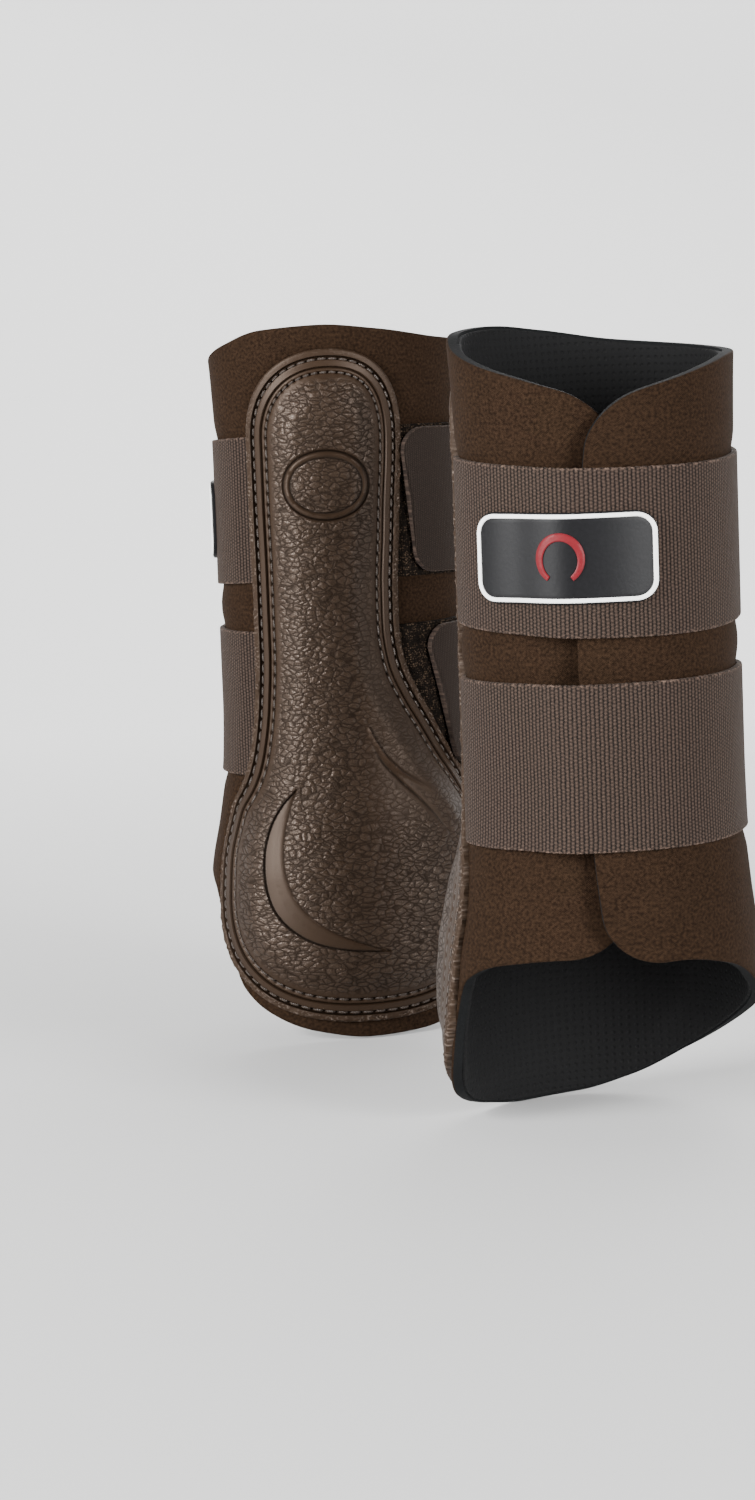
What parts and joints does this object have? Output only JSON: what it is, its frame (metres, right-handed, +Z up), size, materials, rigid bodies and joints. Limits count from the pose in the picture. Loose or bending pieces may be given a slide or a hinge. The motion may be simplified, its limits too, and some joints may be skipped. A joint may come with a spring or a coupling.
{
  "type": "horse tendon boots",
  "caption": "Pair of wrap-around horse leg boots: neoprene sleeve, moulded strike pad on the inner side and elastic hook-and-loop straps.",
  "frame": {"origin": "midway between the two legs' axes, level with the boots' lowest edge", "axes": "+Z up along the legs, the horse faces -Y, +X towards the left boot"},
  "size_m": [0.286, 0.1012, 0.2449],
  "materials": {
    "neoprene": "dark brown knitted facing over neoprene foam, matte with a faint sheen",
    "lining": "black perforated neoprene lining, matte",
    "strap_elastic": "taupe-brown elastic webbing, fine lengthwise ribs",
    "pad_leather": "dark brown pebbled synthetic leather, semi-gloss",
    "insert_foam": "dense impact foam",
    "loop_pile": "very dark brown brushed loop pile",
    "hook_tape": "moulded hook tape",
    "badge_rubber": "moulded black rubber with a white rim"
  },
  "bodies": {
    "left_core": {"left_lower_loop_patch": "loop_pile", "left_lower_strap_root": "strap_elastic", "left_medial_lining": "lining", "left_medial_panel": "neoprene", "left_pad_insert": "insert_foam", "left_strike_pad": "pad_leather", "left_upper_loop_patch": "loop_pile", "left_upper_strap_root": "strap_elastic"},
    "left_front_wing": {"left_badge": "badge_rubber", "left_front_lining": "lining", "left_front_panel": "neoprene", "left_lower_strap_front": "strap_elastic", "left_upper_strap_front": "strap_elastic"},
    "left_rear_wing": {"left_rear_lining": "lining", "left_rear_panel": "neoprene"},
    "left_upper_strap": {"left_upper_strap_side": "strap_elastic"},
    "left_lower_strap": {"left_lower_strap_side": "strap_elastic"},
    "left_upper_tab": {"left_upper_hook_pad": "hook_tape", "left_upper_strap_tab": "strap_elastic"},
    "left_lower_tab": {"left_lower_hook_pad": "hook_tape", "left_lower_strap_tab": "strap_elastic"},
    "right_core": {"right_lower_loop_patch": "loop_pile", "right_lower_strap_root": "strap_elastic", "right_medial_lining": "lining", "right_medial_panel": "neoprene", "right_pad_insert": "insert_foam", "right_strike_pad": "pad_leather", "right_upper_loop_patch": "loop_pile", "right_upper_strap_root": "strap_elastic"},
    "right_front_wing": {"right_badge": "badge_rubber", "right_front_lining": "lining", "right_front_panel": "neoprene", "right_lower_strap_front": "strap_elastic", "right_upper_strap_front": "strap_elastic"},
    "right_rear_wing": {"right_rear_lining": "lining", "right_rear_panel": "neoprene"},
    "right_upper_strap": {"right_upper_strap_side": "strap_elastic"},
    "right_lower_strap": {"right_lower_strap_side": "strap_elastic"},
    "right_upper_tab": {"right_upper_hook_pad": "hook_tape", "right_upper_strap_tab": "strap_elastic"},
    "right_lower_tab": {"right_lower_hook_pad": "hook_tape", "right_lower_strap_tab": "strap_elastic"}
  },
  "joints": [
    {"name": "pair_spacing", "type": "slide", "parent": "left_core", "child": "right_core", "axis": [-1, 0, 0], "range_m": [0, 0.12]},
    {"name": "left_rear_opening", "type": "hinge", "parent": "left_core", "child": "left_rear_wing", "pos_m": [0.08164, 0.04429, 0.03], "axis": [0.0099, -0.0169, 0.9998], "range_deg": [0, 65]},
    {"name": "left_front_opening", "type": "hinge", "parent": "left_core", "child": "left_front_wing", "pos_m": [0.09967, -0.05075, 0.04859], "axis": [0.001, -0.0336, -0.9994], "range_deg": [0, 68.25]},
    {"name": "left_upper_strap_lift", "type": "hinge", "parent": "left_front_wing", "child": "left_upper_strap", "pos_m": [0.13838, 0.01173, 0.15407], "axis": [0, 0, -1], "range_deg": [0, 156]},
    {"name": "left_upper_tab_peel", "type": "hinge", "parent": "left_upper_strap", "child": "left_upper_tab", "pos_m": [0.07691, 0.04132, 0.15775], "axis": [0, 0, -1], "range_deg": [0, 80]},
    {"name": "left_lower_strap_lift", "type": "hinge", "parent": "left_front_wing", "child": "left_lower_strap", "pos_m": [0.13914, 0.0117, 0.0905], "axis": [0, 0, -1], "range_deg": [0, 156]},
    {"name": "left_lower_tab_peel", "type": "hinge", "parent": "left_lower_strap", "child": "left_lower_tab", "pos_m": [0.07653, 0.04178, 0.0905], "axis": [0, 0, -1], "range_deg": [0, 80]},
    {"name": "right_rear_opening", "type": "hinge", "parent": "right_core", "child": "right_rear_wing", "pos_m": [-0.08164, 0.04429, 0.03], "axis": [0.0099, 0.0169, -0.9998], "range_deg": [0, 65]},
    {"name": "right_front_opening", "type": "hinge", "parent": "right_core", "child": "right_front_wing", "pos_m": [-0.09967, -0.05075, 0.04859], "axis": [0.001, 0.0336, 0.9994], "range_deg": [0, 68.25]},
    {"name": "right_upper_strap_lift", "type": "hinge", "parent": "right_front_wing", "child": "right_upper_strap", "pos_m": [-0.13838, 0.01173, 0.15407], "axis": [0, 0, 1], "range_deg": [0, 156]},
    {"name": "right_upper_tab_peel", "type": "hinge", "parent": "right_upper_strap", "child": "right_upper_tab", "pos_m": [-0.07691, 0.04132, 0.15775], "axis": [0, 0, 1], "range_deg": [0, 80]},
    {"name": "right_lower_strap_lift", "type": "hinge", "parent": "right_front_wing", "child": "right_lower_strap", "pos_m": [-0.13914, 0.0117, 0.0905], "axis": [0, 0, 1], "range_deg": [0, 156]},
    {"name": "right_lower_tab_peel", "type": "hinge", "parent": "right_lower_strap", "child": "right_lower_tab", "pos_m": [-0.07653, 0.04178, 0.0905], "axis": [0, 0, 1], "range_deg": [0, 80]}
  ],
  "couplings": [
    {"joint": "left_front_opening", "follows": "left_rear_opening", "ratio": 1.05},
    {"joint": "left_upper_strap_lift", "follows": "left_rear_opening", "ratio": 2.4},
    {"joint": "left_lower_strap_lift", "follows": "left_rear_opening", "ratio": 2.4},
    {"joint": "right_front_opening", "follows": "right_rear_opening", "ratio": 1.05},
    {"joint": "right_upper_strap_lift", "follows": "right_rear_opening", "ratio": 2.4},
    {"joint": "right_lower_strap_lift", "follows": "right_rear_opening", "ratio": 2.4}
  ]
}
